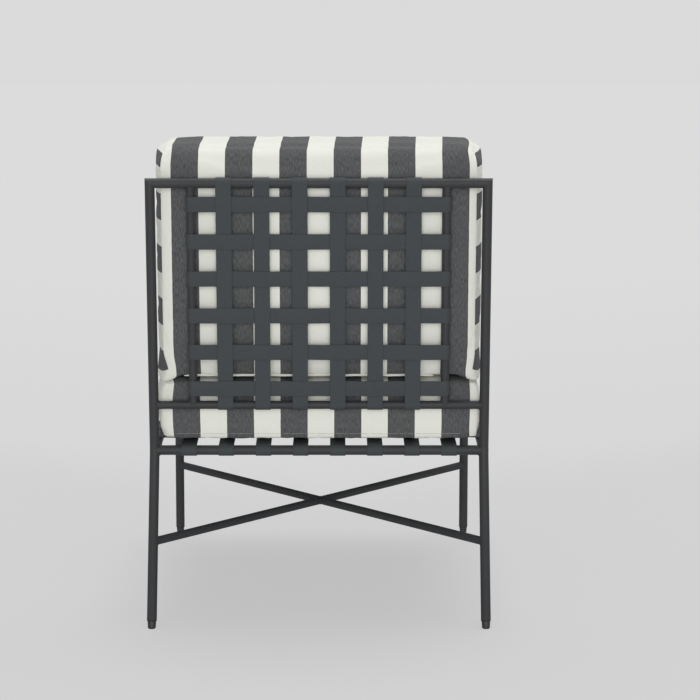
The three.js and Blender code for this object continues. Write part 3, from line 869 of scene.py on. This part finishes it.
def back_spec():
    """The back cushion; its x runs across the chair, its y up the back and its z to the rear."""
    middle = cushion_middle("back_cushion", back_up, back_rear)
    rise = (middle - kink) @ back_up
    return {
        "node": "back_cushion",
        "size": (0.604, 0.447, 0.120),
        "crowns": (0.015, 0.021),
        "bulge": (0.0110, -0.0045, 0.005),
        "radii": {(-1, 1): 0.020, (1, 1): 0.018, (-1, -1): 0.006, (1, -1): 0.006},
        "edges": {(1, 1): 0.022},
        "wraps": (0.006, 0.012),
        "lean": TOP_LEAN,
        "pulls": [
            ((-1, -1, 1), (0.011, 0, 0.002), (0.040, 0.046, 0.036)),
            ((1, -1, 1), (0.005, 0, 0.002), (0.040, 0.038, 0.036)),
            *both(1, 1, (0.005, 0.003, 0.004), (0.030, 0.040, 0.070)),
            ((-1, 1, -1), (0.004, 0, 0.006), (0.030, 0.040, 0.060)),
            ((1, 1, -1), (0.005, 0, 0.006), (0.030, 0.040, 0.060)),
            *both(-1, -1, (0.006, 0.004, 0.006), (0.050, 0.050, 0.050)),
        ],
        "folds": [
            ((-0.97, -1, 0.72), (0.022, 0.012, 0.014), (-0.006, -0.014, 0.007)),
            ((0.97, -1, 0.72), (0.020, 0.012, 0.014), (0.005, -0.012, 0.007)),
            ((-1, -0.99, 0.25), (0.020, 0.022, 0.022), (-0.004, -0.004, 0)),
            ((1, -0.99, 0.25), (0.020, 0.022, 0.022), (0.004, -0.003, 0)),
        ],
        "middle": middle,
        "axes": (X_AXIS, back_up, back_rear),
        "side_shift": rise + BACK_DARK_START - SIDE_DARK_START_BACK,
        "seed": 8.1,
        "settle": settle_back,
    }


def build_zip_flap(shaped, lattice):
    """Pale flap over the zip, along the lower rear seam of the back cushion."""
    on_seam = (lattice[:, 1] == 0) & (lattice[:, 2] == lattice[:, 2].max())
    seam = shaped[on_seam]
    seam = seam[np.argsort(seam[:, 0])]
    stations = np.linspace(*FLAP_ENDS, FLAP_STEPS + 1)
    outline = circle(FLAP_SIDES, back_rear * FLAP_DEPTH / 2, back_up * FLAP_HEIGHT / 2)
    rings = []
    for i, x in enumerate(stations):
        point = np.array([np.interp(x, seam[:, 0], seam[:, axis]) for axis in range(3)])
        wave = noise.noise(Vector((x * FLAP_WAVES_PER_METRE, 0.3, 0.7))) * FLAP_WAVE
        drop = back_up * (FLAP_HEIGHT * FLAP_DROP_SHARE + wave)
        centre = point - drop + back_rear * FLAP_DEPTH * FLAP_STAND_SHARE
        end_share = min(i, FLAP_STEPS - i) / FLAP_TIP_STEPS
        slim = min(1.0, FLAP_TIP_SHARE + (1 - FLAP_TIP_SHARE) * end_share)
        rings.append(centre + outline * slim)
    shape = Shape()
    shape.add_rings(rings, stations - stations[0], np.linspace(0, FLAP_HEIGHT * 2, FLAP_SIDES + 1))
    link(shape.piece("back_zip_flap", tape_material()), "back_cushion")


def add_stitch(shape, centre, along, normal):
    """One stitch: a short thread, its ends dipping into the cloth."""
    outline = circle(THREAD_SIDES, np.cross(normal, along), normal)
    rings = []
    for place, sink, share in STITCH_PROFILE:
        middle = centre + along * (place * STITCH_LENGTH) - normal * (sink * THREAD_RADIUS)
        rings.append(middle + outline * (THREAD_RADIUS * share))
    shape.add_rings(rings)


def build_topstitch(shaped, faces, spec):
    """Line of stitches along the seat cushion's rear, above its lower seam."""
    tree = BVHTree.FromPolygons([tuple(p) for p in shaped], faces)
    width, depth, edge = spec["size"]
    level = spec["middle"] - seat_up * (edge / 2 - TOPSTITCH_ABOVE_SEAM)
    shape = Shape()
    reach = width / 2 - TOPSTITCH_END_GAP
    for x in np.arange(-reach, reach, STITCH_PITCH):
        start = level + X_AXIS * x - seat_forward * depth
        hit, normal, _, _ = tree.ray_cast(Vector(start), Vector(seat_forward))
        if hit is None:
            continue
        normal = np.array(normal)
        along = unit(np.cross(seat_up, normal))
        add_stitch(shape, np.array(hit) + normal * (THREAD_RADIUS / 2), along, normal)
    link(shape.piece("seat_topstitch", thread_material()), "seat_cushion")


def cushion_middle(node, along, up):
    """Middle of a cushion's CAD solid in its own tilted frame, its crowns left out."""
    points = read_rows(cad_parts[node].data.vertices, "co")
    middles = []
    for axis in (along, up):
        heights = points @ axis
        middles.append((heights.min() + heights.max()) / 2)
    below, above = CAD_CROWNS[node]
    return middles[0] * along + middles[1] * up + (below - above) / 2 * up


def settle_seat(points):
    """Keeps the seat cushion above the webbing."""
    floor = tube_radius + 2 * STRAP_THICKNESS - STRAP_SINK
    lift = np.maximum(floor - (points - kink) @ seat_up, 0)
    return points + np.outer(lift, seat_up)


def settle_back(points):
    """Keeps the back cushion in front of the straps that wrap the top rail."""
    depth = -(points - kink) @ back_rear
    rise = (points - top_middle) @ back_up
    nearest = tube_radius + STRAP_GAP + STRAP_THICKNESS
    limit = nearest * np.exp(-((rise / RAIL_REACH) ** 2))
    push = np.maximum(limit - depth, 0)
    return points - np.outer(push, back_rear)


class Nodes:
    """Makes the nodes of one tree; an input takes a value or another node's output."""

    def __init__(self, tree):
        self.tree = tree

    def feed(self, socket, value):
        if isinstance(value, bpy.types.NodeSocket):
            self.tree.links.new(value, socket)
        else:
            socket.default_value = value

    def fill(self, node, **inputs):
        """Feeds inputs by their names, with _ for each blank."""
        for name, value in inputs.items():
            self.feed(node.inputs[name.replace("_", " ")], value)
        return node

    def new(self, kind, **inputs):
        return self.fill(self.tree.nodes.new(f"ShaderNode{kind}"), **inputs)

    def noise(self, vector, scale, detail=2.0):
        node = self.new("TexNoise", Vector=vector, Scale=scale, Detail=detail, Roughness=0.5)
        return node.outputs["Fac"]

    def grain(self, vector, scales, detail=2.0):
        """Noise with a scale for each direction."""
        node = self.new("Mapping", Vector=vector, Scale=scales)
        return self.noise(node.outputs["Vector"], 1.0, detail)

    def wave(self, vector, direction, scale, distortion=0.0):
        node = self.new("TexWave", Vector=vector, Scale=scale, Distortion=distortion)
        node.bands_direction = direction
        return node.outputs["Fac"]

    def math(self, operation, *values, clamp=False):
        node = self.new("Math")
        node.operation = operation
        node.use_clamp = clamp
        for socket, value in zip(node.inputs, values):
            self.feed(socket, value)
        return node.outputs["Value"]

    def mix(self, share, first, second):
        """Colour between two, each given as three values or an output."""
        node = self.new("Mix")
        node.data_type = "RGBA"
        self.fill(node, Factor=share)
        sockets = [socket for socket in node.inputs if socket.type == "RGBA"]
        for socket, colour in zip(sockets, (first, second)):
            self.feed(socket, (*colour, 1.0) if isinstance(colour, tuple) else colour)
        return [socket for socket in node.outputs if socket.type == "RGBA"][0]

    def ranged(self, value, low, high, start=0.0, end=1.0):
        """Maps start to end onto low to high, and goes no further."""
        node = self.new("MapRange", Value=value, From_Min=start, From_Max=end, To_Min=low, To_Max=high)
        return node.outputs["Result"]

    def axis(self, vector, letter):
        return self.new("SeparateXYZ", Vector=vector).outputs[letter]

    def bump(self, shader, height, distance, strength):
        node = self.new("Bump", Height=height, Distance=distance, Strength=strength)
        self.fill(shader, Normal=node.outputs["Normal"])

    def object_places(self):
        return self.new("TexCoord").outputs["Object"]

    def cloth_places(self):
        node = self.new("UVMap")
        node.uv_map = "cloth"
        return node.outputs["UV"]

    def seen_or_mirrored(self):
        """1 for rays of the camera, of mirror images and through glass, 0 for rays that light things."""
        rays = self.new("LightPath").outputs
        seen = self.math("MAXIMUM", rays["Is Camera Ray"], rays["Is Transmission Ray"])
        return self.math("MAXIMUM", seen, rays["Is Glossy Ray"])


def new_material(name):
    """A material, the maker of its nodes, and its shader."""
    material = bpy.data.materials.new(name)
    material.use_nodes = True
    return material, Nodes(material.node_tree), material.node_tree.nodes["Principled BSDF"]


def powder_coat_material():
    """Dark grey powder coat: fine orange peel, faint mottling, duller near the floor."""
    material, nodes, shader = new_material("powder_coat")
    place = nodes.object_places()
    mottle = nodes.noise(place, 14, 3)
    grain = nodes.noise(place, 900)
    low = nodes.ranged(nodes.axis(place, "Z"), COAT_LOW_DULLING, 0.0, *COAT_LOW_HEIGHTS)
    rough = nodes.math("ADD", nodes.ranged(grain, *COAT_ROUGHNESS), low)
    colour = nodes.mix(mottle, *COAT_COLOURS)
    nodes.fill(shader, Base_Color=colour, Roughness=rough, Specular_IOR_Level=0.28)
    nodes.bump(shader, grain, 0.00012, 0.5)
    return material


def webbing_material():
    """Flat woven strap: fine ribs across it, yarn columns along it."""
    material, nodes, shader = new_material("webbing")
    uv = nodes.cloth_places()
    weave = nodes.math("MULTIPLY", nodes.wave(uv, "Y", 110, 0.4), nodes.wave(uv, "X", 170, 0.3))
    streaks = nodes.grain(uv, (700, 60, 1))
    shade = nodes.math("MULTIPLY_ADD", weave, 0.25, streaks, clamp=True)
    colour = nodes.mix(shade, *WEBBING_COLOURS)
    nodes.fill(shader, Base_Color=colour, Roughness=0.72, Specular_IOR_Level=0.3)
    nodes.bump(shader, weave, 0.00018, 0.6)
    return material


def glide_material():
    """Black moulded plastic with fine scuffs."""
    material, nodes, shader = new_material("glide")
    scuffs = nodes.grain(nodes.object_places(), (300, 300, 900), 4)
    colour = nodes.mix(nodes.ranged(scuffs, 0, 1, 0.5, 0.8), *GLIDE_COLOURS)
    nodes.fill(shader, Base_Color=colour, Roughness=nodes.ranged(scuffs, 0.35, 0.7))
    nodes.bump(shader, scuffs, 0.0001, 0.3)
    return material


def fabric_material(name, dark_start, period):
    """Outdoor canvas: ivory and heathered dark grey stripes, plain weave, slubs and a soft sheen."""
    material, nodes, shader = new_material(name)
    uv = nodes.cloth_places()
    jitter = nodes.ranged(nodes.grain(uv, (300, 900, 1)), -STRIPE_JITTER, STRIPE_JITTER)
    across = nodes.math("ADD", nodes.axis(uv, "X"), jitter)
    turns = nodes.math("DIVIDE", nodes.math("SUBTRACT", across, dark_start), period)
    dark = nodes.math("LESS_THAN", nodes.math("FRACT", turns), DARK_SHARE)

    heather = nodes.math("MULTIPLY", nodes.grain(uv, (1500, 130, 1)), 0.3)
    for scales, detail, share in (((160, 1500, 1), 2, 0.2), ((560, 100, 1), 3, 0.5)):
        heather = nodes.math("MULTIPLY_ADD", nodes.grain(uv, scales, detail), share, heather)
    heather = nodes.ranged(heather, 0, 1, 0.36, 0.64)
    cloud = nodes.ranged(nodes.grain(uv, (9, 9, 1), 3), 0, 0.25, 0.4, 0.8)
    ivory = nodes.mix(cloud, nodes.mix(heather, *IVORY_YARNS), WARM_IVORY)
    colour = nodes.mix(dark, ivory, nodes.mix(heather, *GREY_YARNS))

    weave = nodes.math("ADD", nodes.wave(uv, "X", 260), nodes.wave(uv, "Y", 230))
    nodes.bump(shader, nodes.math("MULTIPLY_ADD", weave, 0.5, heather), 0.00016, 0.55)
    nodes.fill(shader, Base_Color=colour, Roughness=0.92, Specular_IOR_Level=0.2)
    nodes.fill(shader, Sheen_Weight=0.06, Sheen_Roughness=0.5)
    return material


def tape_material():
    """Ivory woven tape."""
    material, nodes, shader = new_material("zip_tape")
    weave = nodes.grain(nodes.object_places(), (900, 900, 2200))
    nodes.fill(shader, Base_Color=nodes.mix(weave, *TAPE_COLOURS), Roughness=0.85)
    nodes.bump(shader, weave, 0.0002, 0.5)
    return material


def thread_material():
    """Grey polyester thread."""
    material, nodes, shader = new_material("thread")
    twist = nodes.grain(nodes.object_places(), (2500, 2500, 2500))
    nodes.fill(shader, Base_Color=nodes.mix(twist, *THREAD_COLOURS), Roughness=0.7)
    return material


def empty_nodes(owner):
    """Empties the nodes of a material or a world, and returns the maker of new ones."""
    owner.use_nodes = True
    owner.node_tree.nodes.clear()
    return Nodes(owner.node_tree)


def floor_material():
    """Pale floor: a matt part that takes the shadows, and a set grey that lights nothing, with painted
    light making it brighter further back and towards the middle.
    """
    material = bpy.data.materials.new("studio_floor")
    nodes = empty_nodes(material)
    seen = nodes.seen_or_mirrored()
    matt = nodes.new("BsdfDiffuse", Color=nodes.ranged(seen, FLOOR_BOUNCE_COLOUR, FLOOR_SEEN_COLOUR))
    place = nodes.object_places()
    # painted light: the glowing grey gets brighter further back and towards the middle, like a pool of
    # light
    aside = nodes.math("MULTIPLY", nodes.math("ABSOLUTE", nodes.axis(place, "X")), FLOOR_PAINTED_SIDE_SHARE)
    depth = nodes.math("SUBTRACT", nodes.axis(place, "Y"), aside)
    grey = nodes.ranged(depth, FLOOR_NEAR, FLOOR_NEAR + FLOOR_PAINTED_MIDDLE_RISE, *FLOOR_MIDDLE_REACH)
    grey.node.interpolation_type = "SMOOTHSTEP"
    grey = nodes.math("ADD", grey, nodes.ranged(depth, 0, FLOOR_PAINTED_FAR_RISE, *FLOOR_FAR_REACH))
    glow = nodes.new("Emission", Color=grey, Strength=seen)
    layers = nodes.new("AddShader")
    nodes.feed(layers.inputs[0], matt.outputs["BSDF"])
    nodes.feed(layers.inputs[1], glow.outputs["Emission"])
    nodes.new("OutputMaterial", Surface=layers.outputs["Shader"])
    return material


def build_floor():
    """Round flat floor; it takes the chair's shadow, and doesn't block the low light."""
    rings = [radius * circle(FLOOR_SEGMENTS, X_AXIS, Y_AXIS) for radius in FLOOR_RINGS]
    faces = []
    for i in range(FLOOR_SEGMENTS):
        j = (i + 1) % FLOOR_SEGMENTS
        faces.append((0, 1 + i, 1 + j))
        for ring in range(len(FLOOR_RINGS) - 1):
            a = 1 + ring * FLOOR_SEGMENTS
            b = a + FLOOR_SEGMENTS
            faces.append((a + i, b + i, b + j, a + j))
    floor = mesh_object("studio_floor", np.vstack([np.zeros((1, 3)), *rings]), faces, floor_material())
    bpy.context.scene.collection.objects.link(floor)
    floor.visible_shadow = False


def build_world():
    world = bpy.data.worlds.new("studio")
    bpy.context.scene.world = world
    nodes = empty_nodes(world)
    light = nodes.new("Background", Color=(1, 1, 1, 1), Strength=AMBIENT)
    seen = nodes.new("Background", Color=(BACKDROP, BACKDROP, BACKDROP, 1))
    mix = nodes.new("MixShader", Fac=nodes.seen_or_mirrored())
    nodes.feed(mix.inputs[1], light.outputs["Background"])
    nodes.feed(mix.inputs[2], seen.outputs["Background"])
    nodes.new("OutputWorld", Surface=mix.outputs["Shader"])


def add_sun(name, strength, azimuth, elevation, spread):
    """Large soft light, angles in degrees; azimuth 0 shines along +Y, from behind the camera."""
    lamp = bpy.data.lights.new(name, "SUN")
    lamp.energy = strength
    lamp.angle = math.radians(spread)
    sun = bpy.data.objects.new(name, lamp)
    bpy.context.scene.collection.objects.link(sun)
    turn, rise = math.radians(azimuth), math.radians(elevation)
    flat = math.cos(rise)
    source = Vector((math.sin(turn) * flat, -math.cos(turn) * flat, math.sin(rise)))
    sun.rotation_euler = source.to_track_quat("Z", "Y").to_euler()


def build_camera():
    data = bpy.data.cameras.new("camera")
    data.sensor_width = SENSOR_WIDTH
    data.lens = SENSOR_WIDTH * FOCAL_PIXELS / PHOTO_SIZE
    data.shift_x = (PHOTO_SIZE / 2 - PRINCIPAL_POINT[0]) / PHOTO_SIZE
    data.shift_y = (PRINCIPAL_POINT[1] - PHOTO_SIZE / 2) / PHOTO_SIZE
    camera = bpy.data.objects.new("camera", data)
    camera.location = CAMERA_PLACE
    camera.rotation_euler = (math.pi / 2 - CAMERA_TILT, 0, 0)
    bpy.context.scene.collection.objects.link(camera)
    bpy.context.scene.camera = camera


def build_studio():
    build_world()
    build_floor()
    for name, light in SUNS.items():
        add_sun(name, *light)
    build_camera()
    bpy.context.scene.view_settings.view_transform = "Standard"


def build_chair():
    coat = powder_coat_material()
    webbing = webbing_material()
    plastic = glide_material()
    build_rear_posts(coat)
    build_top_rail(coat)
    build_front_legs_and_side_rails(coat)
    build_straight_tubes(coat)
    build_glides(plastic)
    build_webbing(webbing, coat)
    seat = seat_spec()
    seat_fabric = fabric_material("seat_fabric", SEAT_DARK_START, SEAT_STRIPE_PERIOD)
    shaped, faces, _ = build_cushion(seat_fabric, seat)
    build_topstitch(shaped, faces, seat)
    back_fabric = fabric_material("back_fabric", BACK_DARK_START, BACK_STRIPE_PERIOD)
    shaped, _, lattice = build_cushion(back_fabric, back_spec())
    build_zip_flap(shaped, lattice)


build_studio()
build_chair()
